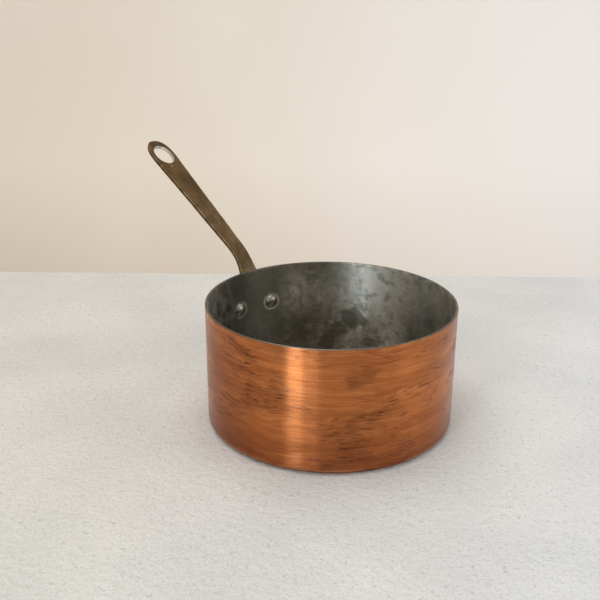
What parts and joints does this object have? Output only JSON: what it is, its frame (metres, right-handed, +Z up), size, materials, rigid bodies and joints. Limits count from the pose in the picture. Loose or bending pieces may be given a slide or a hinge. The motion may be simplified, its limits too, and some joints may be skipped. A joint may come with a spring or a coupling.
{
  "type": "copper saucepan",
  "caption": "Straight-sided copper saucepan with a tinned inside and a long riveted brass handle that ends in an egg-shaped hanging hole.",
  "frame": {"origin": "centre of the flat outer base, on the surface the pan stands on", "axes": "+Z up through the pan's mouth, +X from the pan's axis along the handle"},
  "size_m": [0.3568, 0.2, 0.1919],
  "materials": {
    "copper": "polished, with fine turned lines and light tarnish",
    "tin": "wiped tin, dulled and mottled by use",
    "handle_brass": "cast and filed, with a dark brown patina",
    "rivet_copper": "hammered copper, tinned where it shows inside"
  },
  "bodies": {
    "root": {"pan_body": "copper", "tin_lining": "tin", "handle": "handle_brass", "rivet_left": "rivet_copper", "rivet_right": "rivet_copper"}
  },
  "joints": []
}
